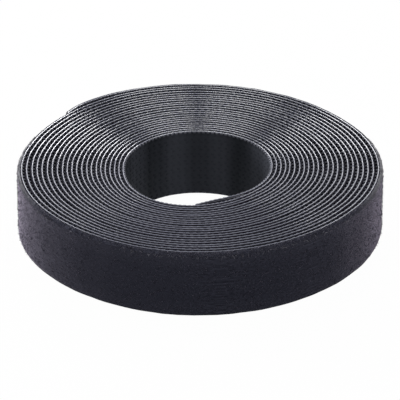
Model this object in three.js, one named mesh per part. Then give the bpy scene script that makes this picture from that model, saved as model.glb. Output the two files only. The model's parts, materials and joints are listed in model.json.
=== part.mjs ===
// A roll of back-to-back hook and loop tape, lying flat with no core.
// The tape is two webs bonded back to back: knitted loop fabric facing out and the base film of the
// hook tape facing in. It winds counter-clockwise, seen from above, from its inner end to its tail.
// The tail is free to be peeled off the roll and the inner end can be bent into the bore.
import * as THREE from 'three';

// Driving dimensions, in millimetres.
const tapeWidth = 20;
const loopWeb = 0.36;
const bondLine = 0.04;
const hookFilm = 0.26;
const startRadius = 21.1;

// Height of the hooks and pile between one turn and the next, pressed tight inside and looser outside.
const innerPile = 0.61;
const outerPile = 0.885;

// The inner turns swell outwards on one side, and the swelling dies away towards the outermost turn.
const swell = 3;
const swellAngle = -109;
const swellHalfWidth = 72;

// The first quarter of a turn leaves the swelling, and only the tape's tip lies out against the next turn.
const firstQuarter = 0.25;
const tipLength = 13;

// The outer turns are a little out of round, fuller to the four sides than on the slants between them.
const outOfRound = 0.4;

// Turns of tape and the direction of its inner end, in degrees.
const turns = 22.64;
const startAngle = -92;

// Sections in a turn, where the tape stays wound and where it bends by itself.
const woundSteps = 24;
const freeSteps = 72;
const shortestStep = 0.3;

// Lengths of tape that bend by themselves, and the open seam at each bend.
const tailLinks = 3;
const tailLinkLength = 16;
const innerEndLength = 16;
const seam = 0.3;

const innerPitch = loopWeb + bondLine + hookFilm + innerPile;
const outerPitch = loopWeb + bondLine + hookFilm + outerPile;
const tipTurns = tipLength / (2 * Math.PI * startRadius);

// Offsets of each web's two faces from the middle of the bond line, towards the outside.
const webs = {
  loop_web: {
    inner: bondLine / 2,
    outer: bondLine / 2 + loopWeb,
    material: { color: 0x25272e, roughness: 0.95, metalness: 0 },
  },
  hook_web: {
    inner: -bondLine / 2 - hookFilm,
    outer: -bondLine / 2,
    material: { color: 0x1b1b1e, roughness: 0.55, metalness: 0 },
  },
};

function directionAt(turn) {
  return THREE.MathUtils.degToRad(startAngle + 360 * turn);
}

// Radius of the bond line after a number of turns.
function radiusAt(turn) {
  const growth = innerPitch * turn + (outerPitch - innerPitch) * turn * turn / (2 * turns);
  const away = THREE.MathUtils.euclideanModulo(startAngle + 360 * turn - swellAngle + 180, 360) - 180;
  const share = Math.min(Math.abs(away) / swellHalfWidth, 1);
  const kept = turn < firstQuarter ? Math.max(1 - turn / tipTurns, 0) ** 2 : 1;
  const bulge = kept * swell * (1 - turn / turns) * (1 + Math.cos(Math.PI * share)) / 2;
  const fullness = outOfRound * (turn / turns) * Math.cos(4 * directionAt(turn));
  return startRadius + growth + bulge + fullness;
}

// Share of a turn that a length of tape takes up there.
function turnsIn(length, turn) {
  return length / (2 * Math.PI * radiusAt(turn));
}

function pointAt(turn, offset, height) {
  const radius = radiusAt(turn) + offset;
  const direction = directionAt(turn);
  return new THREE.Vector3(radius * Math.cos(direction), radius * Math.sin(direction), height);
}

// Sections along a stretch of tape. They keep to whole steps of a turn, so that turns nest.
function sectionsBetween(from, to, stepsPerTurn) {
  const least = shortestStep / stepsPerTurn;
  const sections = [from];
  for (let step = Math.ceil(from * stepsPerTurn); step / stepsPerTurn < to; step += 1) {
    const turn = step / stepsPerTurn;
    if (turn - from > least && to - turn > least) {
      sections.push(turn);
    }
  }
  sections.push(to);
  return sections;
}

// One web over a stretch of tape: four corners a section, four walls between sections and two ends.
function webGeometry(web, from, to, stepsPerTurn) {
  const sections = sectionsBetween(from, to, stepsPerTurn);
  const corners = [];
  for (const turn of sections) {
    corners.push(pointAt(turn, web.inner, 0), pointAt(turn, web.outer, 0));
    corners.push(pointAt(turn, web.outer, tapeWidth), pointAt(turn, web.inner, tapeWidth));
  }
  const faces = [0, 1, 2, 0, 2, 3];
  for (let section = 0; section + 1 < sections.length; section += 1) {
    for (let side = 0; side < 4; side += 1) {
      const near = 4 * section + side;
      const nearNext = 4 * section + (side + 1) % 4;
      const far = near + 4;
      const farNext = nearNext + 4;
      faces.push(near, far, farNext, near, farNext, nearNext);
    }
  }
  const last = 4 * (sections.length - 1);
  faces.push(last, last + 2, last + 1, last, last + 3, last + 2);
  const geometry = new THREE.BufferGeometry();
  geometry.setFromPoints(corners);
  geometry.setIndex(faces);
  geometry.computeVertexNormals();
  return geometry;
}

// Both webs of one stretch of tape, each a mesh of its own.
function tapeStretch(name, from, to, stepsPerTurn) {
  const stretch = new THREE.Group();
  for (const [webName, web] of Object.entries(webs)) {
    const material = new THREE.MeshStandardMaterial(web.material);
    const mesh = new THREE.Mesh(webGeometry(web, from, to, stepsPerTurn), material);
    mesh.name = `${name}_${webName}`;
    stretch.add(mesh);
  }
  return stretch;
}

// Least gap between one turn's outer face and the next turn's inner face, on points of both.
function leastGap(from, to) {
  let least = Infinity;
  for (let turn = from; turn + 1 <= to; turn += 1 / woundSteps) {
    const outerFace = pointAt(turn, webs.loop_web.outer, 0);
    for (const shift of [-1, -0.5, 0, 0.5, 1]) {
      const next = Math.min(turn + 1 + shift / woundSteps, to);
      least = Math.min(least, outerFace.distanceTo(pointAt(next, webs.hook_web.inner, 0)));
    }
  }
  return least;
}

const roll = new THREE.Group();
const halfSeam = seam / 2;

// Inner end: it bends into the bore on the hook face.
const innerBend = turnsIn(innerEndLength, 0);
const innerSeam = turnsIn(halfSeam, innerBend);
roll.add(tapeStretch('inner_end', 0, innerBend - innerSeam, freeSteps));

// Tail: links that peel away from the roll, each on the loop face.
const linkTurns = turnsIn(tailLinkLength, turns);
const tailSeam = turnsIn(halfSeam, turns);
const tailBends = [];
for (let link = 0; link < tailLinks; link += 1) {
  const bend = turns - (tailLinks - link) * linkTurns;
  const lastLink = link === tailLinks - 1;
  const end = bend + linkTurns - (lastLink ? 0 : tailSeam);
  roll.add(tapeStretch(`tail_${link + 1}`, bend + tailSeam, end, freeSteps));
  tailBends.push(bend);
}

// Everything between the two free ends stays wound.
roll.add(tapeStretch('wound', innerBend + innerSeam, tailBends[0] - tailSeam, woundSteps));

// The roll stands on the middle of its box, which a spiral's axis misses a little.
const box = new THREE.Box3().setFromObject(roll);
const middle = box.getCenter(new THREE.Vector3());
roll.position.set(-middle.x, -middle.y, 0);

function placeText(turn, offset) {
  const place = pointAt(turn, offset, 0).add(roll.position);
  return `${place.x.toFixed(3)}, ${place.y.toFixed(3)}`;
}

console.log(`least gap between turns ${leastGap(0, turns).toFixed(3)} mm`);
console.log(`winding axis at ${roll.position.x.toFixed(3)}, ${roll.position.y.toFixed(3)}`);
console.log(`inner end bends at ${placeText(innerBend, webs.hook_web.inner)}`);
tailBends.forEach((bend, link) => {
  console.log(`tail ${link + 1} bends at ${placeText(bend, webs.loop_web.outer)}`);
});

export default roll;
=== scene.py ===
import bpy
import json
import math
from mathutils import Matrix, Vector, noise


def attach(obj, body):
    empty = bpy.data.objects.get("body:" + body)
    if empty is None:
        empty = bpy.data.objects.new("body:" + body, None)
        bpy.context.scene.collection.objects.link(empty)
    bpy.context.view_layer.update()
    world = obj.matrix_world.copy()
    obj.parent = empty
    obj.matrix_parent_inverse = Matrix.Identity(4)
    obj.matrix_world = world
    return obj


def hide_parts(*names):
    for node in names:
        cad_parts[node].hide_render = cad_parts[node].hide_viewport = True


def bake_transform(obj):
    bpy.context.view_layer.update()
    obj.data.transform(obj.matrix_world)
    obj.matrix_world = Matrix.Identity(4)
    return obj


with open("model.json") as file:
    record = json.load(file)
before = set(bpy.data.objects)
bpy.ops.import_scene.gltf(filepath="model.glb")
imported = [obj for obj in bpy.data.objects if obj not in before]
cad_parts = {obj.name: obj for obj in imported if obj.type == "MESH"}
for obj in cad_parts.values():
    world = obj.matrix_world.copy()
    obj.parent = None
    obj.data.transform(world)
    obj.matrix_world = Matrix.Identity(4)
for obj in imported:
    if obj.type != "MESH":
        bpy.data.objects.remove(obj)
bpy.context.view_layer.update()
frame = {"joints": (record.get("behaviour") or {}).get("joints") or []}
mm = 0.001

# the strip and how it is wound, with the same values as the solids
tape = {
    "width": 20 * mm,
    "loopWeb": 0.36 * mm,
    "bondLine": 0.04 * mm,
    "hookFilm": 0.26 * mm,
    "startRadius": 21.1 * mm,
    "innerPile": 0.61 * mm,
    "outerPile": 0.885 * mm,
    "swell": 3 * mm,
    "swellAngle": -109,
    "swellHalfWidth": 72,
    "firstQuarter": 0.25,
    "tip": 13 * mm,
    "outOfRound": 0.4 * mm,
    "fullSides": 4,
    "turns": 22.64,
    "startAngle": -92,
    "tailLinks": 3,
    "tailLink": 16 * mm,
    "innerEnd": 16 * mm,
}
webSum = tape["loopWeb"] + tape["bondLine"] + tape["hookFilm"]
innerPitch = webSum + tape["innerPile"]
outerPitch = webSum + tape["outerPile"]
loopFace = tape["bondLine"] / 2 + tape["loopWeb"]      # offsets from the middle of the bond line
filmFace = -tape["bondLine"] / 2 - tape["hookFilm"]


def directionAt(turn):
    return math.radians(tape["startAngle"] + 360 * turn)


# degrees from an angle to the tape's direction, between -180 and 180
def degreesFrom(angle, turn):
    return (tape["startAngle"] + 360 * turn - angle + 180) % 360 - 180


def radiusAt(turn):
    turns = tape["turns"]
    growth = innerPitch * turn + (outerPitch - innerPitch) * turn * turn / (2 * turns)
    share = min(abs(degreesFrom(tape["swellAngle"], turn)) / tape["swellHalfWidth"], 1)
    tipTurns = tape["tip"] / (2 * math.pi * tape["startRadius"])
    kept = max(1 - turn / tipTurns, 0) ** 2 if turn < tape["firstQuarter"] else 1
    bulge = kept * tape["swell"] * (1 - turn / turns) * (1 + math.cos(math.pi * share)) / 2
    fullness = tape["outOfRound"] * turn / turns * math.cos(tape["fullSides"] * directionAt(turn))
    return tape["startRadius"] + growth + bulge + fullness


def turnsIn(length, turn):
    return length / (2 * math.pi * radiusAt(turn))


# the bends of both free ends, and the axis that follows from where the first bend of the tail sits
innerBend = turnsIn(tape["innerEnd"], 0)
linkTurns = turnsIn(tape["tailLink"], tape["turns"])
tailBends = [tape["turns"] - (tape["tailLinks"] - link) * linkTurns for link in range(tape["tailLinks"])]
firstBend = tailBends[0]
outerWall = firstBend - 1
jointPlace = {joint["name"]: Vector(joint["pos_m"]) for joint in frame["joints"]}
bendRadius = radiusAt(firstBend) + loopFace
bendWay = Vector((math.cos(directionAt(firstBend)), math.sin(directionAt(firstBend)), 0))
windingAxis = jointPlace["tail_1_peel"] - bendRadius * bendWay
windingAxis.z = 0


def lengthTo(turn):
    middle = (radiusAt(0) + radiusAt(turn)) / 2
    return 2 * math.pi * middle * turn


def leftOf(turn):
    return (tape["turns"] - turn) * 2 * math.pi * radiusAt(tape["turns"])


# soft tape never lies quite on its spiral: it wanders in and out within the open height between turns
wander = {
    "far": 0.16 * mm, "farPerMetre": 62, "farRow": (4.1, 0.7),
    "near": 0.07 * mm, "nearPerMetre": 310, "nearRow": (1.3, 6.2),
}
squeeze = {"deep": 0.6 * mm, "angle": 164, "halfWidth": 60}    # the roll is pressed in a little on one side
bulges = [                                                     # its outer turns are fuller under the tail
    {"rise": 0.75 * mm, "angle": 122, "halfWidth": 42},
    {"rise": -0.22 * mm, "angle": 25, "halfWidth": 45},        # and flatter across from there
]
loose = {"rise": 0.25 * mm, "length": 45 * mm, "steep": 1.4, "tip": 9 * mm}    # the tail stands off the roll
stuck = {"deep": 0.68 * mm, "length": 7 * mm}                  # but its tip is pressed on
tuck = {"rise": 0.40 * mm, "length": 7 * mm}                   # as is the tip of the inner end
slack = {"all": 0.35 * mm, "last": 0.35 * mm, "lastPower": 6}  # the outer turns sink a little into their pile
lean = 0.6 * mm                                                # the upper edges lean outwards at the back


def waver(along, row):
    return noise.noise(Vector((along, *row)))


def eased(rise, share):
    return rise * share * share * (3 - 2 * share)


def shareNear(turn, place):
    away = degreesFrom(place["angle"], turn)
    return (1 + math.cos(math.pi * min(abs(away) / place["halfWidth"], 1))) / 2


def sidewaysAt(turn):
    outer = (turn / tape["turns"]) ** 2
    fuller = sum(bulge["rise"] * shareNear(turn, bulge) for bulge in bulges)
    return outer * fuller - squeeze["deep"] * shareNear(turn, squeeze)


def looseAt(turn):
    left = leftOf(turn)
    share = min(max(loose["steep"] * (1 - left / loose["length"]), 0), left / loose["tip"], 1)
    return eased(loose["rise"], share)


def tipsAt(turn):
    tailShare = max(1 - leftOf(turn) / stuck["length"], 0)
    innerShare = max(1 - lengthTo(turn) / tuck["length"], 0)
    return tuck["rise"] * innerShare ** 2 - stuck["deep"] * tailShare ** 2


def wanderAt(turn):
    along = lengthTo(turn)
    far = waver(along * wander["farPerMetre"], wander["farRow"])
    near = waver(along * wander["nearPerMetre"], wander["nearRow"])
    drift = wander["far"] * far + wander["near"] * near
    share = turn / tape["turns"]
    sunk = slack["all"] * share + slack["last"] * share ** slack["lastPower"]
    return drift - sunk + sidewaysAt(turn) + looseAt(turn) + tipsAt(turn)


# nothing presses on the pile of the outermost turn, so it stands up between the tail's end and the next turn
fluff = {"rise": 0.50 * mm, "start": 45 * mm, "end": 12 * mm}


def fluffAt(turn):
    past = (turn - tape["turns"] + 1) * 2 * math.pi * radiusAt(tape["turns"])
    share = min(max(past / fluff["start"], 0), 1, leftOf(turn) / fluff["end"])
    return eased(fluff["rise"], share)


# turns never settle quite level: each stretch of upper edge rides a little higher or lower
settle = {
    "rise": 0.26 * mm, "perTurn": 0.83, "row": (2.7, 0.4),
    "finePerTurn": 5.3, "fineRow": (8.1, 1.9), "fineShare": 0.25,
}


def riseAt(turn):
    slow = waver(turn * settle["perTurn"], settle["row"])
    fine = waver(turn * settle["finePerTurn"], settle["fineRow"])
    level = 0.5 + 0.5 * (slow + settle["fineShare"] * fine)
    return settle["rise"] * min(max(level, 0), 1)


def pointAt(turn, offset, height):
    way = directionAt(turn)
    leant = lean * max(math.sin(way), 0) * height / tape["width"]
    radius = radiusAt(turn) + wanderAt(turn) + leant + offset
    raised = height * (1 + riseAt(turn) / tape["width"])
    return windingAxis + Vector((radius * math.cos(way), radius * math.sin(way), raised))


print("tape: %.2f turns, axis at %.3f, %.3f mm" % (tape["turns"], windingAxis.x / mm, windingAxis.y / mm))


# finishes
def newFinish(name):
    finish = bpy.data.materials.new(name)
    finish.use_nodes = True
    nodes = finish.node_tree.nodes
    return finish, nodes, finish.node_tree.links, nodes["Principled BSDF"]


def setSockets(node, values):
    for socket, value in values.items():
        node.inputs[socket].default_value = value


def addNode(nodes, kind, settings=(), values=()):
    node = nodes.new(kind)
    for key, value in dict(settings).items():
        setattr(node, key, value)
    setSockets(node, dict(values))
    return node


def rampOf(nodes, links, value, stops, colours):
    ramp = nodes.new("ShaderNodeValToRGB")
    elements = ramp.color_ramp.elements
    while len(elements) < len(stops):
        elements.new(0.5)
    for element, place, colour in zip(elements, stops, colours):
        element.position = place
        element.color = colour
    links.new(value, ramp.inputs["Fac"])
    return ramp.outputs["Color"]


# either colour is a socket, or a tuple that stays as it is
def mixOf(nodes, links, share, first, second):
    mix = addNode(nodes, "ShaderNodeMix", {"data_type": "RGBA"})
    links.new(share, mix.inputs["Factor"])
    for socket, colour in ((mix.inputs[6], first), (mix.inputs[7], second)):   # the two colour sockets
        if isinstance(colour, tuple):
            socket.default_value = colour
        else:
            links.new(colour, socket)
    return mix.outputs[2]


def smoothShare(nodes, links, value, lowest, highest):
    share = addNode(nodes, "ShaderNodeMapRange", {"interpolation_type": "SMOOTHSTEP"},
                    {"From Min": lowest, "From Max": highest})
    links.new(value, share.inputs["Value"])
    return share.outputs["Result"]


def grainOf(nodes, links, place, grain):
    pattern = addNode(nodes, "ShaderNodeTexNoise", values=grain)
    links.new(place, pattern.inputs["Vector"])
    return pattern.outputs["Fac"]


def addBump(nodes, links, shader, height, bump):
    relief = addNode(nodes, "ShaderNodeBump", values=bump)
    links.new(height, relief.inputs["Height"])
    links.new(relief.outputs["Normal"], shader.inputs["Normal"])


def partsOf(nodes, links, vector):
    parts = nodes.new("ShaderNodeSeparateXYZ")
    links.new(vector, parts.inputs["Vector"])
    return parts.outputs


# place along the tape, height across it and offset from the bond line, as the bands carry them
def tapeWay(nodes):
    return addNode(nodes, "ShaderNodeAttribute", {"attribute_name": "tapeWay"}).outputs["Vector"]


def objectPlace(nodes):
    return nodes.new("ShaderNodeTexCoord").outputs["Object"]


# how near a height is to either edge of the tape, from 0 inside to 1 on the edge
def nearEdge(nodes, links, height, deep):
    half = tape["width"] / 2
    outerThird = deep / 3
    fromMiddle = addNode(nodes, "ShaderNodeMath", {"operation": "SUBTRACT"}, {1: half})
    away = addNode(nodes, "ShaderNodeMath", {"operation": "ABSOLUTE"})
    links.new(height, fromMiddle.inputs[0])
    links.new(fromMiddle.outputs[0], away.inputs[0])
    return smoothShare(nodes, links, away.outputs[0], half - deep, half - outerThird)


# 1 at the sides of the roll, where the pale crest is a painted highlight for the light from the sides, and 0
# along its front and back, where the pile's rim is as dark as the wall
sideLitSpan = {"front": (-30 * mm, -6 * mm), "back": (24 * mm, 12 * mm)}


def sideLitShare(nodes, links):
    along = partsOf(nodes, links, objectPlace(nodes))["Y"]
    both = addNode(nodes, "ShaderNodeMath", {"operation": "MULTIPLY"})
    for side, (dark, pale) in enumerate(sideLitSpan.values()):
        links.new(smoothShare(nodes, links, along, dark, pale), both.inputs[side])
    return both.outputs[0]


# the colours of a pattern, and others along the front and back of the roll where the look has them; the paler
# colours at the sides are a painted highlight
def patternColour(nodes, links, pattern, stops, look):
    colour = rampOf(nodes, links, pattern, stops, look["colours"])
    if "front" in look:
        front = rampOf(nodes, links, pattern, stops, look["front"])
        colour = mixOf(nodes, links, sideLitShare(nodes, links), front, colour)
    return colour


# 1 for what the camera sees by itself, in gloss or through glass, and 0 for other light
def seenRay(nodes, links):
    path = nodes.new("ShaderNodeLightPath")
    seen = path.outputs["Is Camera Ray"]
    for label in ("Is Glossy Ray", "Is Transmission Ray"):
        either = addNode(nodes, "ShaderNodeMath", {"operation": "MAXIMUM"})
        links.new(seen, either.inputs[0])
        links.new(path.outputs[label], either.inputs[1])
        seen = either.outputs[0]
    return seen


loopLook = {
    "grain": {"Scale": 1900, "Detail": 4, "Roughness": 0.65},
    "bump": {"Strength": 0.7, "Distance": 0.2 * mm},
    "stops": (0.34, 0.66),
    "face": [(0.011, 0.012, 0.019, 1), (0.040, 0.041, 0.059, 1)],
    # rim: the face's colours made paler near both edges, a painted highlight
    "rim": [(0.015, 0.016, 0.024, 1), (0.050, 0.051, 0.072, 1)],
    "rimDeep": 6.0 * mm,
    "rough": 0.92,
    "specular": 0.1,
    "sheen": 1.0,
    "sheenRough": 0.30,
    "sheenTint": (0.90, 0.80, 1.0, 1),
    # painted shade: the pile between turns drawn black
    "pressed": (0.005, 0.005, 0.008, 1),
    "pressedSpecular": 0.0,
    # paler colours along the edge of the pile between turns: painted light where light reaches it
    "frayStops": (0.36, 0.60),
    "fray": [(0.006, 0.006, 0.009, 1), (0.034, 0.035, 0.045, 1)],
    "frayDeep": 0.30 * mm,
}


def addSheen(shader, weight):
    setSockets(shader, {"Sheen Weight": weight, "Sheen Roughness": loopLook["sheenRough"],
                        "Sheen Tint": loopLook["sheenTint"]})


# the pile of the outer wall, paler towards its rims as a painted highlight for the light that falls on them
def loopKnitFinish():
    finish, nodes, links, shader = newFinish("loopKnit")
    way = tapeWay(nodes)
    fibre = grainOf(nodes, links, way, loopLook["grain"])
    face = rampOf(nodes, links, fibre, loopLook["stops"], loopLook["face"])
    rim = rampOf(nodes, links, fibre, loopLook["stops"], loopLook["rim"])
    near = nearEdge(nodes, links, partsOf(nodes, links, way)["Y"], loopLook["rimDeep"])
    links.new(mixOf(nodes, links, near, face, rim), shader.inputs["Base Color"])
    addBump(nodes, links, shader, fibre, loopLook["bump"])
    setSockets(shader, {"Roughness": loopLook["rough"], "Specular IOR Level": loopLook["specular"]})
    addSheen(shader, loopLook["sheen"])
    return finish


# the same pile between turns: black in the depth as painted shade, and paler along its frayed edge as painted
# light where light reaches it
def pressedKnitFinish():
    finish, nodes, links, shader = newFinish("pressedKnitInShade")
    way = tapeWay(nodes)
    fibre = grainOf(nodes, links, way, loopLook["grain"])
    fray = rampOf(nodes, links, fibre, loopLook["frayStops"], loopLook["fray"])
    cut = nearEdge(nodes, links, partsOf(nodes, links, way)["Y"], loopLook["frayDeep"])
    links.new(mixOf(nodes, links, cut, loopLook["pressed"], fray), shader.inputs["Base Color"])
    setSockets(shader, {"Roughness": loopLook["rough"], "Specular IOR Level": loopLook["pressedSpecular"]})
    return finish


# soft stripes across the tape's width: painted reflections on the film and hooks
reflectionStreaks = {
    "grain": {"Scale": 75, "Detail": 2, "Roughness": 0.5},
    "flat": (1, 1, 0.08),
    "shift": (0.23, 0, 0),
    "stops": (0.38, 0.62),
}


def reflectionStreaksOf(nodes, links, colours):
    flat = addNode(nodes, "ShaderNodeVectorMath", {"operation": "MULTIPLY_ADD"},
                   {1: reflectionStreaks["flat"], 2: reflectionStreaks["shift"]})
    links.new(objectPlace(nodes), flat.inputs[0])
    reflectionStreak = grainOf(nodes, links, flat.outputs[0], reflectionStreaks["grain"])
    return rampOf(nodes, links, reflectionStreak, reflectionStreaks["stops"], colours)


filmLook = {
    # colours of the open film, laid in soft stripes of painted reflection
    "colours": [(0.022, 0.025, 0.031, 1), (0.070, 0.075, 0.092, 1)],
    # a painted highlight along the open film's upper edge
    "openLitLip": (0.150, 0.158, 0.195, 1),
    "openLipDeep": 0.55 * mm,
    "rough": 0.6,
    "specular": 0.1,
    # painted shade for the film between turns, and a paler colour along its edge as painted light
    "pressed": (0.006, 0.006, 0.009, 1),
    "lip": (0.072, 0.079, 0.106, 1),
    "lipDeep": 0.9 * mm,
    "pressedRough": 0.7,
    "pressedSpecular": 0.0,
}


# the open film in the bore: its colours lie in soft stripes of painted reflection, and its upper edge is
# paler as a painted highlight
def hookFilmFinish():
    finish, nodes, links, shader = newFinish("hookFilm")
    colour = reflectionStreaksOf(nodes, links, filmLook["colours"])
    near = nearEdge(nodes, links, partsOf(nodes, links, tapeWay(nodes))["Y"], filmLook["openLipDeep"])
    links.new(mixOf(nodes, links, near, colour, filmLook["openLitLip"]), shader.inputs["Base Color"])
    setSockets(shader, {"Roughness": filmLook["rough"], "Specular IOR Level": filmLook["specular"]})
    return finish


# the film between turns: black in the depth, paler where light reaches it along its edge
def pressedFilmFinish():
    finish, nodes, links, shader = newFinish("pressedFilmInShade")
    near = nearEdge(nodes, links, partsOf(nodes, links, tapeWay(nodes))["Y"], filmLook["lipDeep"])
    links.new(mixOf(nodes, links, near, filmLook["pressed"], filmLook["lip"]), shader.inputs["Base Color"])
    setSockets(shader, {"Roughness": filmLook["pressedRough"],
                        "Specular IOR Level": filmLook["pressedSpecular"]})
    return finish


# smooth and rough are the ends of an edge's roughness
cutLook = {
    "film": {
        "colours": [(0.113, 0.117, 0.158, 1), (0.212, 0.216, 0.277, 1)],
        "smooth": 0.08, "rough": 0.24, "specular": 0.23,
    },
    "web": {
        "colours": [(0.013, 0.013, 0.018, 1), (0.039, 0.040, 0.052, 1)],
        "smooth": 0.14, "rough": 0.30, "specular": 0.0,
    },
    # the crest's pale colours at the sides are a painted highlight; its front colours hold along the front
    # and back
    "crest": {
        "colours": [(0.104, 0.104, 0.116, 1), (0.370, 0.370, 0.398, 1)],
        "front": [(0.020, 0.021, 0.031, 1), (0.073, 0.075, 0.102, 1)],
        "smooth": 0.60, "rough": 0.80, "specular": 0.0,
    },
}
cutGrain = {
    "scuff": {"Scale": 900, "Detail": 4, "Roughness": 0.7},
    "scuffStops": (0.34, 0.62),
    "bump": {"Strength": 0.12, "Distance": 0.06 * mm},
    "stretch": {"Scale": 420, "Detail": 4, "Roughness": 0.72},
    "stretchRange": (0.50, 0.70),
}


# a cut edge: scuffed in stretches, pale on the film, dark on the fabric and fluffy on the standing crest,
# which is paler at the sides as a painted highlight
def cutEdgeFinish(name, look):
    finish, nodes, links, shader = newFinish(name)
    way = tapeWay(nodes)
    scuff = grainOf(nodes, links, way, cutGrain["scuff"])
    colour = patternColour(nodes, links, scuff, cutGrain["scuffStops"], look)
    links.new(colour, shader.inputs["Base Color"])
    lowest, highest = cutGrain["stretchRange"]
    gloss = addNode(nodes, "ShaderNodeMapRange", {}, {
        "From Min": lowest, "From Max": highest, "To Min": look["smooth"], "To Max": look["rough"]})
    links.new(grainOf(nodes, links, way, cutGrain["stretch"]), gloss.inputs["Value"])
    links.new(gloss.outputs["Result"], shader.inputs["Roughness"])
    addBump(nodes, links, shader, scuff, cutGrain["bump"])
    setSockets(shader, {"Specular IOR Level": look["specular"]})
    return finish


# hooks between turns are lit only down to a depth, and darker below it as painted shade; the second rows from
# the edges are painted all in shade, the teeth along the bore's rim are paler as a painted highlight, and all
# hooks carry soft stripes of painted reflection
hookLook = {
    "rough": 0.62,
    "bore": {"colours": [(0.022, 0.025, 0.031, 1), (0.066, 0.071, 0.087, 1)], "specular": 0.04},
    # teeth along the bore's rim: paler as a painted highlight
    "teeth": {"colours": [(0.080, 0.083, 0.102, 1), (0.152, 0.156, 0.188, 1)], "specular": 0.06},
    "edge": {"colours": [(0.044, 0.045, 0.053, 1), (0.092, 0.095, 0.112, 1)], "specular": 0.0,
             "below": (0.004, 0.004, 0.006, 1), "lit": 0.30 * mm},
    # the second rows from the edges: painted shade, dark all over
    "deep": {"colours": [(0.004, 0.004, 0.006, 1), (0.008, 0.008, 0.011, 1)], "specular": 0.0},
}


def hookPlasticFinish(name, look):
    finish, nodes, links, shader = newFinish(name)
    colour = reflectionStreaksOf(nodes, links, look["colours"])
    if "lit" in look:
        height = partsOf(nodes, links, objectPlace(nodes))["Z"]
        colour = mixOf(nodes, links, nearEdge(nodes, links, height, look["lit"]), look["below"], colour)
    links.new(colour, shader.inputs["Base Color"])
    setSockets(shader, {"Roughness": hookLook["rough"], "Specular IOR Level": look["specular"]})
    return finish


# the colours of each kind of fibre go from dark to light to stray
pileLook = {
    "tuft": {"Scale": 1400, "Detail": 2, "Roughness": 0.5},
    "stops": (0.36, 0.64, 0.76),
    "rough": 0.8,
    "wall": {"colours": [(0.016, 0.017, 0.025, 1), (0.057, 0.058, 0.081, 1), (0.062, 0.064, 0.088, 1)],
             "sheen": 0.55, "specular": 0.0},
    # rim fibres: pale at the sides as a painted highlight, and darker along the front and back
    "rim": {"colours": [(0.100, 0.100, 0.111, 1), (0.380, 0.380, 0.407, 1), (0.560, 0.560, 0.590, 1)],
            "front": [(0.024, 0.025, 0.036, 1), (0.087, 0.089, 0.118, 1), (0.265, 0.267, 0.295, 1)],
            "sheen": 0.5, "specular": 0.12},
    "hair": {"colours": [(0.060, 0.060, 0.072, 1), (0.230, 0.230, 0.260, 1), (0.430, 0.430, 0.460, 1)],
             "sheen": 0.5, "specular": 0.12},
    # edge fibres: the pile's colour darkened as painted shade, for pile between turns and the crest at the
    # back
    "edge": {"colours": [(0.004, 0.004, 0.006, 1), (0.016, 0.017, 0.023, 1), (0.130, 0.132, 0.155, 1)],
             "sheen": 0.0, "specular": 0.0},
}


def pileFibreFinish(name, look):
    finish, nodes, links, shader = newFinish(name)
    tuft = grainOf(nodes, links, objectPlace(nodes), pileLook["tuft"])
    colour = patternColour(nodes, links, tuft, pileLook["stops"], look)
    links.new(colour, shader.inputs["Base Color"])
    setSockets(shader, {"Roughness": pileLook["rough"], "Specular IOR Level": look["specular"]})
    addSheen(shader, look["sheen"])
    return finish


loopKnit = loopKnitFinish()
hookFilm = hookFilmFinish()
pressedKnitInShade = pressedKnitFinish()
pressedFilmInShade = pressedFilmFinish()
filmEdge = cutEdgeFinish("filmEdge", cutLook["film"])
webEdge = cutEdgeFinish("webEdge", cutLook["web"])
crestKnitSideLit = cutEdgeFinish("crestKnitSideLit", cutLook["crest"])
hookPlastic = hookPlasticFinish("hookPlastic", hookLook["bore"])
hookTeethLit = hookPlasticFinish("hookTeethLit", hookLook["teeth"])
hookEdge = hookPlasticFinish("hookEdge", hookLook["edge"])
hookDeepInShade = hookPlasticFinish("hookDeepInShade", hookLook["deep"])
pileFibre = pileFibreFinish("pileFibre", pileLook["wall"])
edgeFibreInShade = pileFibreFinish("edgeFibreInShade", pileLook["edge"])
rimFibreSideLit = pileFibreFinish("rimFibreSideLit", pileLook["rim"])
hairFibre = pileFibreFinish("hairFibre", pileLook["hair"])
print("finishes made")


# meshes along the winding
def newObject(name, data):
    piece = bpy.data.objects.new(name, data)
    bpy.context.scene.collection.objects.link(piece)
    return piece


def newPiece(name, points, faces, edges=()):
    mesh = bpy.data.meshes.new(name)
    mesh.from_pydata(points, edges, faces)
    return newObject(name, mesh)


leastSteps = 4             # however short a stretch of tape is


def turnsBetween(fromTurn, toTurn, stepsPerTurn):
    steps = max(leastSteps, math.ceil((toTurn - fromTurn) * stepsPerTurn))
    return [fromTurn + (toTurn - fromTurn) * step / steps for step in range(steps + 1)]


# the cut edge of both webs together: rounded over, and sloping away towards the loop face
cutShape = {"crown": 0.014 * mm, "crownPower": 3, "bevel": 0.10 * mm, "points": 4}


def cutPoints(inner, outer):
    points = []
    for step in range(cutShape["points"] + 1):
        offset = outer + (inner - outer) * step / cutShape["points"]
        share = (offset - filmFace) / (loopFace - filmFace)
        drop = cutShape["bevel"] * share + cutShape["crown"] * abs(2 * share - 1) ** cutShape["crownPower"]
        points.append((offset, tape["width"] - drop))
    return points


# kinds of face on a band, in the order of its finishes
openFace, cutFace, pressedFace, crestFace = range(4)
sharpAngle = 62            # degrees between faces, past which an edge of a band stays crisp


# a closed section from the points over its upper edge, from the outside in, with the kind of each face
def mirrored(upper, kinds):
    lower = [(offset, tape["width"] - height) for offset, height in reversed(upper)]
    return upper + lower, kinds + [openFace] + kinds[::-1] + [openFace]


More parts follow.
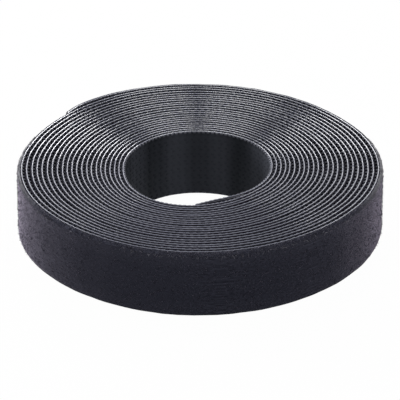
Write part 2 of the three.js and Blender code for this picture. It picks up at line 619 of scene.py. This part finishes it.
# all but the cut faces count as pressed over the turns that lie between two others
def bandPiece(name, sectionAt, fromTurn, toTurn, stepsPerTurn, finishes, pressedTurns):
    points, ways, faces, faceKinds = [], [], [], []
    turnsHere = turnsBetween(fromTurn, toTurn, stepsPerTurn)
    for turn in turnsHere:
        section, kinds = sectionAt(turn)
        for offset, height in section:
            points.append(pointAt(turn, offset, height))
            ways.append((lengthTo(turn), height, offset))
    ring = len(section)
    for row in range(len(turnsHere) - 1):
        pressed = pressedTurns[0] <= turnsHere[row] < pressedTurns[1]
        for side in range(ring):
            here = row * ring + side
            beside = row * ring + (side + 1) % ring
            faces.append((here, here + ring, beside + ring, beside))
            faceKinds.append(pressedFace if pressed and kinds[side] != cutFace else kinds[side])
    last = (len(turnsHere) - 1) * ring
    faces.append(tuple(range(ring)))
    faces.append(tuple(last + side for side in reversed(range(ring))))
    piece = newPiece(name, points, faces)
    for finish in finishes:
        piece.data.materials.append(finish)
    piece.data.polygons.foreach_set("material_index", faceKinds + [openFace, openFace])
    way = piece.data.attributes.new("tapeWay", "FLOAT_VECTOR", "POINT")
    way.data.foreach_set("vector", [value for each in ways for value in each])
    piece.data.shade_smooth()
    piece.data.set_sharp_from_angle(angle=math.radians(sharpAngle))
    return piece


filmShape = {"stepsPerTurn": 120}


def filmPiece(name, fromTurn, toTurn):
    section = mirrored(cutPoints(filmFace, tape["bondLine"] / 2), [cutFace] * cutShape["points"])
    return bandPiece(name, lambda turn: section, fromTurn, toTurn, filmShape["stepsPerTurn"],
                     (hookFilm, filmEdge, pressedFilmInShade), (1 + innerBend, firstBend))


# the loop web, with its pile standing out from the loop face and stopping short of the cut edge
webShape = {
    "stepsPerTurn": 150,
    "pile": 0.20 * mm,
    "short": 0.16 * mm,
    "slope": 0.12 * mm,
    "round": 1.2,                   # how far a risen pile falls away at its rims, against its rise
    "shoulder": 0.1,                # and how much of that half way out
    "uneven": 0.12 * mm,
    "unevenPerMetre": 1700,
    "unevenRow": (0.3, 5.2),
    "fillDeep": 1.5 * mm,           # below this depth the pile reaches across to the next turn
    "fillSlope": 0.5 * mm,
    "fillShort": 0.07 * mm,
    "fillFade": 0.02,
}


# half way out and at the face of the standing pile: offset from the bond line and drop below the cut edge
def pileRim(turn):
    rise = fluffAt(turn)
    out = webShape["pile"] + rise
    fall = webShape["round"] * rise
    middle = (loopFace + out / 2, webShape["short"] + webShape["shoulder"] * fall)
    return middle, (loopFace + out, webShape["short"] + webShape["slope"] + fall)


# how far the pile stands out in the depth: across the open height where another turn lies on it
def pileDeep(turn, out):
    if not innerBend < turn < outerWall:
        return out
    share = min(turn - innerBend, outerWall - turn, webShape["fillFade"]) / webShape["fillFade"]
    here = radiusAt(turn) + wanderAt(turn) + loopFace
    above = radiusAt(turn + 1) + wanderAt(turn + 1) + filmFace
    return max(out, out + share * (above - here - webShape["fillShort"] - (out - loopFace)))


def webPiece(name, fromTurn, toTurn):
    def sectionAt(turn):
        along = lengthTo(turn) * webShape["unevenPerMetre"]
        edge = tape["width"] + webShape["uneven"] * waver(along, webShape["unevenRow"])
        middle, face = pileRim(turn)
        deep = tape["width"] - webShape["fillDeep"]
        stand = [(pileDeep(turn, face[0]), deep - webShape["fillSlope"]), (face[0], deep)]
        stand += [(face[0], edge - face[1]), (middle[0], edge - middle[1])]
        kinds = [openFace, openFace, crestFace, crestFace] + [cutFace] * cutShape["points"]
        return mirrored(stand + cutPoints(tape["bondLine"] / 2, loopFace), kinds)
    return bandPiece(name, sectionAt, fromTurn, toTurn, webShape["stepsPerTurn"],
                     (loopKnit, webEdge, pressedKnitInShade, crestKnitSideLit), (innerBend, outerWall))


# geometry node trees
def newTree(name, sockets):
    tree = bpy.data.node_groups.new(name, "GeometryNodeTree")
    tree.interface.new_socket("Geometry", in_out="INPUT", socket_type="NodeSocketGeometry")
    for label, kind in sockets:
        tree.interface.new_socket(label, in_out="INPUT", socket_type=kind)
    tree.interface.new_socket("Geometry", in_out="OUTPUT", socket_type="NodeSocketGeometry")
    return tree, tree.nodes.new("NodeGroupInput"), tree.nodes.new("NodeGroupOutput")


def closeTree(tree, groupIn, groupOut, instances):
    links = tree.links
    realize = tree.nodes.new("GeometryNodeRealizeInstances")
    paint = tree.nodes.new("GeometryNodeSetMaterial")
    links.new(instances, realize.inputs["Geometry"])
    links.new(realize.outputs["Geometry"], paint.inputs["Geometry"])
    links.new(groupIn.outputs["Finish"], paint.inputs["Material"])
    links.new(paint.outputs["Geometry"], groupOut.inputs["Geometry"])


# a random turn between a tree's input and its opposite
def randomLean(nodes, links, groupIn, most):
    against = addNode(nodes, "ShaderNodeVectorMath", {"operation": "SCALE"}, {"Scale": -1})
    lean = addNode(nodes, "FunctionNodeRandomValue", {"data_type": "FLOAT_VECTOR"})
    links.new(groupIn.outputs[most], against.inputs[0])
    links.new(against.outputs[0], lean.inputs["Min"])
    links.new(groupIn.outputs[most], lean.inputs["Max"])
    links.new(groupIn.outputs["Seed"], lean.inputs["Seed"])
    return lean.outputs["Value"]


# instances of a tree's input object on points, each turned by angles about its own axes
def instancesOn(nodes, links, points, model, rotation, angles, scale):
    shape = nodes.new("GeometryNodeObjectInfo")
    place = nodes.new("GeometryNodeInstanceOnPoints")
    euler = nodes.new("FunctionNodeEulerToRotation")
    spin = addNode(nodes, "FunctionNodeRotateRotation", {"rotation_space": "LOCAL"})
    links.new(points, place.inputs["Points"])
    links.new(model, shape.inputs["Object"])
    links.new(shape.outputs["Geometry"], place.inputs["Instance"])
    links.new(angles, euler.inputs["Euler"])
    links.new(rotation, spin.inputs["Rotation"])
    links.new(euler.outputs["Rotation"], spin.inputs["Rotate By"])
    links.new(spin.outputs["Rotation"], place.inputs["Rotation"])
    links.new(scale, place.inputs["Scale"])
    return place.outputs["Instances"]


# runs a tree on a guide mesh and leaves a plain mesh in its place
def grow(guide, tree, name, values):
    modifier = guide.modifiers.new(tree.name, "NODES")
    modifier.node_group = tree
    for item in tree.interface.items_tree:
        if item.in_out == "INPUT" and item.name in values:
            modifier[item.identifier] = values[item.name]
    evaluated = guide.evaluated_get(bpy.context.evaluated_depsgraph_get())
    mesh = bpy.data.meshes.new_from_object(evaluated)
    mesh.name = name
    guide.modifiers.remove(modifier)
    bpy.data.objects.remove(guide)
    return newObject(name, mesh)


# one moulded hook: x along the tape, y away from the film, z across the tape; its outline is in y and z
hook = {
    "length": 0.85 * mm,
    "height": 0.62 * mm,
    "outline": [(-0.03, -0.17), (0.50, -0.11), (0.62, 0.04), (0.55, 0.30),
                (0.36, 0.40), (0.44, 0.20), (0.36, 0.09), (-0.03, 0.17)],
    "taper": 0.82,
    "pitch": 2.0 * mm,
    "teethPitch": 1.35 * mm,
    "stagger": 0.5,                 # of the pitch, on every second row
    "rows": 18,
    "rowPitch": 1.15 * mm,
    "lean": (0.05, 0.04, 0.05),
    "reach": 0.93,                  # shares of the hook's height
    "freeReach": 0.6,
    "boreReach": 0.2,
    "teethReach": 0.68,
    "guideSteps": 72,
    "seed": 11,
}


def hookRowsTree():
    tree, groupIn, groupOut = newTree("hookRows", [
        ("Hook", "NodeSocketObject"), ("Pitch", "NodeSocketFloat"), ("Lean", "NodeSocketVector"),
        ("Finish", "NodeSocketMaterial"), ("Seed", "NodeSocketInt")])
    nodes, links = tree.nodes, tree.links
    curve = nodes.new("GeometryNodeMeshToCurve")
    spots = addNode(nodes, "GeometryNodeCurveToPoints", {"mode": "LENGTH"})
    follow = addNode(nodes, "FunctionNodeAlignRotationToVector", {"axis": "X", "pivot_axis": "Z"})
    facing = addNode(nodes, "GeometryNodeInputNamedAttribute", {"data_type": "FLOAT"}, {"Name": "facing"})
    room = addNode(nodes, "GeometryNodeInputNamedAttribute", {"data_type": "FLOAT"}, {"Name": "room"})
    flip = nodes.new("ShaderNodeCombineXYZ")
    stretch = addNode(nodes, "ShaderNodeCombineXYZ", values={"X": 1, "Z": 1})
    turned = addNode(nodes, "ShaderNodeVectorMath", {"operation": "ADD"})
    links.new(groupIn.outputs["Geometry"], curve.inputs["Mesh"])
    links.new(curve.outputs["Curve"], spots.inputs["Curve"])
    links.new(groupIn.outputs["Pitch"], spots.inputs["Length"])
    links.new(spots.outputs["Tangent"], follow.inputs["Vector"])
    links.new(facing.outputs["Attribute"], flip.inputs["Y"])
    links.new(flip.outputs[0], turned.inputs[0])
    links.new(randomLean(nodes, links, groupIn, "Lean"), turned.inputs[1])
    links.new(room.outputs["Attribute"], stretch.inputs["Y"])
    hooks = instancesOn(nodes, links, spots.outputs["Points"], groupIn.outputs["Hook"],
                        follow.outputs["Rotation"], turned.outputs[0], stretch.outputs[0])
    closeTree(tree, groupIn, groupOut, hooks)
    return tree


def hookShape():
    outline = hook["outline"]
    count = len(outline)
    points = []
    for end in (-0.5, 0.5):
        for y, z in outline:
            narrow = 1 + (hook["taper"] - 1) * max(y * mm, 0) / hook["height"]
            points.append((end * hook["length"] * narrow, y * mm, z * mm))
    faces = [tuple(reversed(range(count))), tuple(range(count, 2 * count))]
    for side in range(count):
        beside = (side + 1) % count
        faces.append((side, beside, beside + count, side + count))
    return newPiece("hookShape", points, faces)


# guides carry which way a hook faces and how much of its height there is room for
def hookRows(name, fromTurn, toTurn, rows, finish, reach, stagger=0, pitch=hook["pitch"]):
    points, edges, facing, room = [], [], [], []
    margin = (tape["width"] - (hook["rows"] - 1) * hook["rowPitch"]) / 2
    for row in rows:
        late = stagger * (row % 2) * turnsIn(pitch, fromTurn)
        turnsHere = turnsBetween(fromTurn + late, toTurn, hook["guideSteps"])
        for step, turn in enumerate(turnsHere):
            if step:
                edges.append((len(points) - 1, len(points)))
            points.append(pointAt(turn, filmFace, margin + row * hook["rowPitch"]))
            facing.append(math.pi * (row % 2))
            gap = tape["innerPile"] + (tape["outerPile"] - tape["innerPile"]) * turn / tape["turns"]
            room.append(reach * min(gap, hook["height"]) / hook["height"])
    guide = newPiece(name + "Guide", points, [], edges)
    for label, values in (("facing", facing), ("room", room)):
        guide.data.attributes.new(label, "FLOAT", "POINT").data.foreach_set("value", values)
    return grow(guide, hookTree, name, {
        "Hook": hookModel, "Pitch": pitch, "Lean": hook["lean"], "Finish": finish, "Seed": hook["seed"]})


# fibres of the pile, standing on z = 0: small arches, and stray hairs on the rim of the outer wall
pile = {
    "arch": [(-0.15, -0.06), (-0.21, 0.15), (0.0, 0.33), (0.21, 0.15), (0.15, -0.06)],
    "hair": [(0.0, -0.06), (0.05, 0.22), (0.16, 0.42), (0.34, 0.54)],
    "fibre": 0.034 * mm,
    "fibreSides": 3,
    "tilt": (0.7, 0.7, math.pi),
    "patch": {"Scale": 420, "Detail": 2, "Roughness": 0.5},    # thin and thick patches
    "patchFull": 0.58,
    "guideSteps": 96,
    "wallPerMetre2": 1.9e6,
    "wallBare": 0.10,
    "wallSizes": (0.65, 1.2),
    "edgePerMetre2": 2.6e6,
    "edgeBare": 0.40,
    "edgeSizes": (0.40, 1.10),
    "edgeWide": 0.28 * mm,
    "edgeDown": 0.42 * mm,
    "lowerSizes": (0.30, 0.60),
    "rimPerMetre2": 7.0e6,
    "rimBare": 0.36,
    "rimSizes": (0.7, 1.8),
    "rimDeep": 0.40 * mm,
    "rimFrom": -165,                # degrees, as are the ends of the light crest
    "rimTo": -15,
    "crestPerMetre2": 16e6,
    "crestBare": 0.36,
    "crestSizes": (0.5, 1.15),
    "crestBackSizes": (0.15, 0.30),
    "crestFrom": 0.20 * mm,
    "crestLeft": 158,
    "crestRight": 20,
}
pileSeeds = {
    "wallA": 6, "wallB": 7, "upper": 8, "lower": 9, "rim": 11,
    "crest": 12, "crestBack": 13, "crestTail": 14, "freeWall": 45, "freeCrest": 46,
}


def pileLoopsTree():
    tree, groupIn, groupOut = newTree("pileLoops", [
        ("Loop", "NodeSocketObject"), ("Density", "NodeSocketFloat"), ("Bare", "NodeSocketFloat"),
        ("Tilt", "NodeSocketVector"), ("Smallest", "NodeSocketFloat"), ("Largest", "NodeSocketFloat"),
        ("Finish", "NodeSocketMaterial"), ("Seed", "NodeSocketInt")])
    nodes, links = tree.nodes, tree.links
    spots = addNode(nodes, "GeometryNodeDistributePointsOnFaces", {"distribute_method": "RANDOM"})
    patch = addNode(nodes, "ShaderNodeTexNoise", values=pile["patch"])
    bare = addNode(nodes, "ShaderNodeMapRange", values={"From Max": pile["patchFull"], "To Min": 0})
    size = addNode(nodes, "FunctionNodeRandomValue", {"data_type": "FLOAT"})
    links.new(groupIn.outputs["Geometry"], spots.inputs["Mesh"])
    links.new(patch.outputs[0], bare.inputs["Value"])
    links.new(groupIn.outputs["Bare"], bare.inputs["From Min"])
    links.new(groupIn.outputs["Density"], bare.inputs["To Max"])
    links.new(bare.outputs["Result"], spots.inputs["Density"])
    links.new(groupIn.outputs["Seed"], spots.inputs["Seed"])
    links.new(groupIn.outputs["Smallest"], size.inputs[2])     # the second Min and Max are the float ones
    links.new(groupIn.outputs["Largest"], size.inputs[3])
    links.new(groupIn.outputs["Seed"], size.inputs["Seed"])
    tilt = randomLean(nodes, links, groupIn, "Tilt")
    loops = instancesOn(nodes, links, spots.outputs["Points"], groupIn.outputs["Loop"],
                        spots.outputs["Rotation"], tilt, size.outputs[1])
    closeTree(tree, groupIn, groupOut, loops)
    return tree


def fibreShape(name, outline):
    points, faces = [], []
    sides = pile["fibreSides"]
    path = [Vector((x * mm, 0, z * mm)) for x, z in outline]
    for index, spot in enumerate(path):
        ahead = (path[min(index + 1, len(path) - 1)] - path[max(index - 1, 0)]).normalized()
        side = Vector((0, 1, 0))
        over = ahead.cross(side)
        for corner in range(sides):
            swing = 2 * math.pi * corner / sides
            points.append(spot + pile["fibre"] * (math.cos(swing) * side + math.sin(swing) * over))
    for index in range(len(path) - 1):
        for corner in range(sides):
            here = sides * index + corner
            beside = sides * index + (corner + 1) % sides
            faces.append((here, beside, beside + sides, here + sides))
    last = sides * (len(path) - 1)
    faces += [tuple(reversed(range(sides))), tuple(range(last, last + sides))]
    piece = newPiece(name, points, faces)
    piece.data.shade_smooth()
    return piece


# a strip along the winding for loops to stand on, its corners from the inside out and from the top down
def guideStrip(name, fromTurn, toTurn, cornersAt):
    points, faces = [], []
    for turn in turnsBetween(fromTurn, toTurn, pile["guideSteps"]):
        corners = cornersAt(turn)
        first = len(points)
        points += [pointAt(turn, offset, height) for offset, height in corners]
        if first:
            for here in range(first, first + len(corners) - 1):
                before = here - len(corners)
                faces.append((before + 1, here + 1, here, before))
    return newPiece(name + "Guide", points, faces)


# kind is wall, edge, rim or crest
def pileOn(guide, name, loop, kind, sizes, finish, seed):
    return grow(guide, pileTree, name, {
        "Loop": loop, "Density": pile[kind + "PerMetre2"], "Bare": pile[kind + "Bare"], "Tilt": pile["tilt"],
        "Smallest": sizes[0], "Largest": sizes[1], "Finish": finish, "Seed": pileSeeds[seed]})


def wallPile(name, fromTurn, toTurn, seed):
    def cornersAt(turn):
        offset, drop = pileRim(turn)[1]
        return [(offset, tape["width"] - drop), (offset, drop)]
    guide = guideStrip(name, fromTurn, toTurn, cornersAt)
    return pileOn(guide, name, archModel, "wall", pile["wallSizes"], pileFibre, seed)


def edgePile(name, fromTurn, toTurn, top, seed):
    height = tape["width"] - pile["edgeDown"] if top else pile["edgeDown"]
    inside = (loopFace, height)
    outside = (loopFace + pile["edgeWide"], height)
    ends = [inside, outside] if top else [outside, inside]
    sizes = pile["edgeSizes"] if top else pile["lowerSizes"]
    guide = guideStrip(name, fromTurn, toTurn, lambda turn: ends)
    return pileOn(guide, name, archModel, "edge", sizes, edgeFibreInShade, seed)


# stray hairs that hang out over the upper rim of the outer wall
def rimPile(name, fromTurn, toTurn, seed):
    def cornersAt(turn):
        offset, drop = pileRim(turn)[1]
        top = tape["width"] - drop
        return [(offset, top), (offset, top - pile["rimDeep"])]
    guide = guideStrip(name, fromTurn, toTurn, cornersAt)
    return pileOn(guide, name, hairModel, "rim", pile["rimSizes"], hairFibre, seed)


# fibres along the upper rim of the outer wall, where nothing presses on them
def crestPile(name, fromTurn, toTurn, sizes, finish, seed):
    def cornersAt(turn):
        rim = [(pile["crestFrom"], webShape["short"])] + list(pileRim(turn))
        return [(offset, tape["width"] - drop) for offset, drop in rim]
    guide = guideStrip(name, fromTurn, toTurn, cornersAt)
    return pileOn(guide, name, archModel, "crest", sizes, finish, seed)


hookModel = hookShape()
archModel = fibreShape("archShape", pile["arch"])
hairModel = fibreShape("hairShape", pile["hair"])
hookTree = hookRowsTree()
pileTree = pileLoopsTree()

# rows of hooks count from the lower edge, and between turns only the outer ones can be seen
allRows = list(range(hook["rows"]))
upperRow, upperDeepRow = allRows[-1:], allRows[-2:-1]
lowerRow, lowerDeepRow = allRows[:1], allRows[1:2]
faceRows = allRows[:-1]


# where the outermost turn faces a direction, in degrees
def turnFacing(degrees):
    return outerWall + ((degrees - tape["startAngle"]) / 360 - outerWall) % 1


def towards(bend, offset, way):
    along = pointAt(bend + way, offset, tape["width"] / 2) - pointAt(bend, offset, tape["width"] / 2)
    return along.normalized()


# a point a length beside a free end's bend, in the direction of its first part, is worked out but not used
freeEnd = {"curl": 7 * mm, "partsPerLink": 10}


def dressFreeEnd(name, fromTurn, toTurn, bend, offset, reach, rimHooks):
    film = filmPiece(name + "_film", fromTurn, toTurn)
    web = webPiece(name + "_loops_web", fromTurn, toTurn)
    hooks = hookRows(name + "_hooks", fromTurn, toTurn, faceRows, hookPlastic, reach, hook["stagger"])
    teeth = hookRows(name + "_teeth", fromTurn, toTurn, upperRow, rimHooks, hook["teethReach"],
                     hook["stagger"], hook["teethPitch"])
    face = wallPile(name + "_pile", fromTurn, toTurn, "freeWall")
    crest = crestPile(name + "_crest", fromTurn, toTurn, pile["crestBackSizes"], edgeFibreInShade, "freeCrest")
    start = pointAt(bend, offset, tape["width"] / 2)
    part = linkTurns / freeEnd["partsPerLink"]
    end = start + freeEnd["curl"] * towards(bend, offset, part if fromTurn >= bend else -part)
    for piece in (film, hooks, teeth, web, face, crest):
        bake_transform(piece)
    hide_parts(name + "_hook_web")
    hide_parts(name + "_loop_web")
    print(name, "dressed")


def dressWound():
    film = filmPiece("wound_film", innerBend, firstBend)
    web = webPiece("wound_loops_web", innerBend, firstBend)
    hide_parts("wound_hook_web")
    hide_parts("wound_loop_web")
    boreEnd = 1 + innerBend
    hooks = [
        hookRows("wound_hooks_bore", innerBend, boreEnd, faceRows, hookPlastic, hook["boreReach"],
                 hook["stagger"]),
        hookRows("wound_hooks_teeth", innerBend, boreEnd, upperRow, hookTeethLit, hook["teethReach"],
                 hook["stagger"], hook["teethPitch"]),
        hookRows("wound_hooks_upper", boreEnd, firstBend, upperRow, hookEdge, hook["reach"]),
        hookRows("wound_hooks_upper_deep", boreEnd, firstBend, upperDeepRow, hookDeepInShade, hook["reach"]),
        hookRows("wound_hooks_lower", boreEnd, firstBend, lowerRow, hookEdge, hook["reach"]),
        hookRows("wound_hooks_lower_deep", boreEnd, firstBend, lowerDeepRow, hookDeepInShade, hook["reach"]),
    ]
    middle = (outerWall + firstBend) / 2
    crestLeft = turnFacing(pile["crestLeft"])
    crestRight = turnFacing(pile["crestRight"])
    loops = [
        wallPile("wound_pile_wall_a", outerWall, middle, "wallA"),
        wallPile("wound_pile_wall_b", middle, firstBend, "wallB"),
        edgePile("wound_pile_upper", innerBend, firstBend, True, "upper"),
        edgePile("wound_pile_lower", innerBend, firstBend, False, "lower"),
        rimPile("wound_pile_rim", turnFacing(pile["rimFrom"]), turnFacing(pile["rimTo"]), "rim"),
        # the crest's fibres are pale at the sides as a painted highlight, and darkened as painted shade
        # behind the tail and at the back
        crestPile("wound_pile_crest", crestLeft, crestRight, pile["crestSizes"], rimFibreSideLit, "crest"),
        crestPile("wound_pile_crest_tail", outerWall, crestLeft, pile["crestBackSizes"], edgeFibreInShade,
                  "crestTail"),
        crestPile("wound_pile_crest_back", crestRight, firstBend, pile["crestBackSizes"], edgeFibreInShade,
                  "crestBack"),
    ]
    for piece in [film] + hooks:
        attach(piece, "roll")
    for piece in [web] + loops:
        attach(piece, "roll")
    print("wound turns dressed")


dressWound()
dressFreeEnd("inner_end", 0, innerBend, innerBend, filmFace, hook["boreReach"], hookTeethLit)
for link, bend in enumerate(tailBends):
    name = "tail_%d" % (link + 1)
    dressFreeEnd(name, bend, bend + linkTurns, bend, loopFace, hook["freeReach"], hookEdge)
for model in (hookModel, archModel, hairModel):
    bpy.data.objects.remove(model)

# floor, lights and camera
studio = {
    "floorHalf": 3.0,
    "floorColour": (0.86, 0.86, 0.86, 1),
    "floorRough": 0.9,
    "floorSpecular": 0.1,
    "floorWhite": 0.98,
    "white": (1, 1, 1, 1),
    "worldLight": 0.42,
}


def studioFloor():
    half = studio["floorHalf"]
    corners = [(-half, -half, 0), (half, -half, 0), (half, half, 0), (-half, half, 0)]
    floor = newPiece("studioFloor", corners, [(0, 1, 2, 3)])
    finish, nodes, links, shader = newFinish("paleFloor")
    setSockets(shader, {"Base Color": studio["floorColour"], "Roughness": studio["floorRough"],
                        "Specular IOR Level": studio["floorSpecular"]})
    glow = addNode(nodes, "ShaderNodeEmission", values={"Strength": 1})
    share = addNode(nodes, "ShaderNodeMath", {"operation": "MULTIPLY"}, {1: studio["floorWhite"]})
    mix = nodes.new("ShaderNodeMixShader")
    links.new(seenRay(nodes, links), share.inputs[0])
    links.new(share.outputs[0], mix.inputs["Fac"])
    links.new(shader.outputs["BSDF"], mix.inputs[1])
    links.new(glow.outputs["Emission"], mix.inputs[2])
    links.new(mix.outputs["Shader"], nodes["Material Output"].inputs["Surface"])
    floor.data.materials.append(finish)


def studioWorld():
    world = bpy.data.worlds.new("studioWorld")
    bpy.context.scene.world = world
    world.use_nodes = True
    nodes, links = world.node_tree.nodes, world.node_tree.links
    soft = nodes["Background"]
    setSockets(soft, {"Color": studio["white"], "Strength": studio["worldLight"]})
    white = addNode(nodes, "ShaderNodeBackground", values={"Color": studio["white"], "Strength": 1})
    mix = nodes.new("ShaderNodeMixShader")
    links.new(seenRay(nodes, links), mix.inputs["Fac"])
    links.new(soft.outputs["Background"], mix.inputs[1])
    links.new(white.outputs["Background"], mix.inputs[2])
    links.new(mix.outputs["Shader"], nodes["World Output"].inputs["Surface"])


# the far lamps mirror in the cut edges of the film, and so light its sectors on the top face
lamps = {
    "overhead": {"place": (0.0, 0.0, 0.75), "wide": 0.7, "tall": 0.7, "power": 1.2},
    "backMiddleLeft": {"place": (-0.097, 2.3475, 0.4989), "wide": 0.160, "tall": 0.717, "power": 1.65},
    "backMiddleRight": {"place": (0.097, 2.3475, 0.4989), "wide": 0.160, "tall": 0.717, "power": 1.65},
    "sideLeft": {"place": (-0.68, 0.45, 0.25), "wide": 0.3, "tall": 0.3, "power": 4.4},
    "sideRight": {"place": (0.75, 0.22, 0.25), "wide": 0.3, "tall": 0.3, "power": 0.30},
    "backLeft": {"place": (-0.513, 2.293, 0.555), "wide": 0.488, "tall": 0.836, "power": 21.0},
    "backRight": {"place": (0.505, 2.295, 0.555), "wide": 0.504, "tall": 0.836, "power": 14.0},
    "midLeft": {"place": (-0.54, 2.025, 1.23), "wide": 0.48, "tall": 0.84, "power": 6.4},
    "midRight": {"place": (0.54, 2.025, 1.23), "wide": 0.48, "tall": 0.84, "power": 6.4},
}


def addLamp(name, lamp):
    data = bpy.data.lights.new(name, "AREA")
    data.shape = "RECTANGLE"
    data.size = lamp["wide"]
    data.size_y = lamp["tall"]
    data.energy = lamp["power"]
    piece = newObject(name, data)
    piece.location = lamp["place"]
    aim = Vector((0, 0, tape["width"] / 2)) - piece.location
    piece.rotation_euler = aim.to_track_quat("-Z", "Y").to_euler()


view = {
    "elevation": 27.85, "distance": 1.172, "lens": 364.4, "sensor": 36,
    "aside": 0.52 * mm, "below": 1.05 * mm,
}


def addCamera():
    data = bpy.data.cameras.new("photoView")
    data.lens = view["lens"]
    data.sensor_width = view["sensor"]
    camera = newObject("photoView", data)
    tilt = math.radians(view["elevation"])
    aim = windingAxis + Vector((view["aside"], 0, tape["width"] / 2 - view["below"]))
    back = Vector((0, -math.cos(tilt), math.sin(tilt)))
    camera.location = aim + back * view["distance"]
    camera.rotation_euler = (-back).to_track_quat("-Z", "Y").to_euler()
    bpy.context.scene.camera = camera


studioFloor()
studioWorld()
for lampName, lampSizes in lamps.items():
    addLamp(lampName, lampSizes)
addCamera()
bpy.context.scene.view_settings.view_transform = "Standard"
print("studio set")

triangles = sum(len(face.vertices) - 2 for mesh in bpy.data.meshes for face in mesh.polygons)
print("triangles: %d" % triangles)
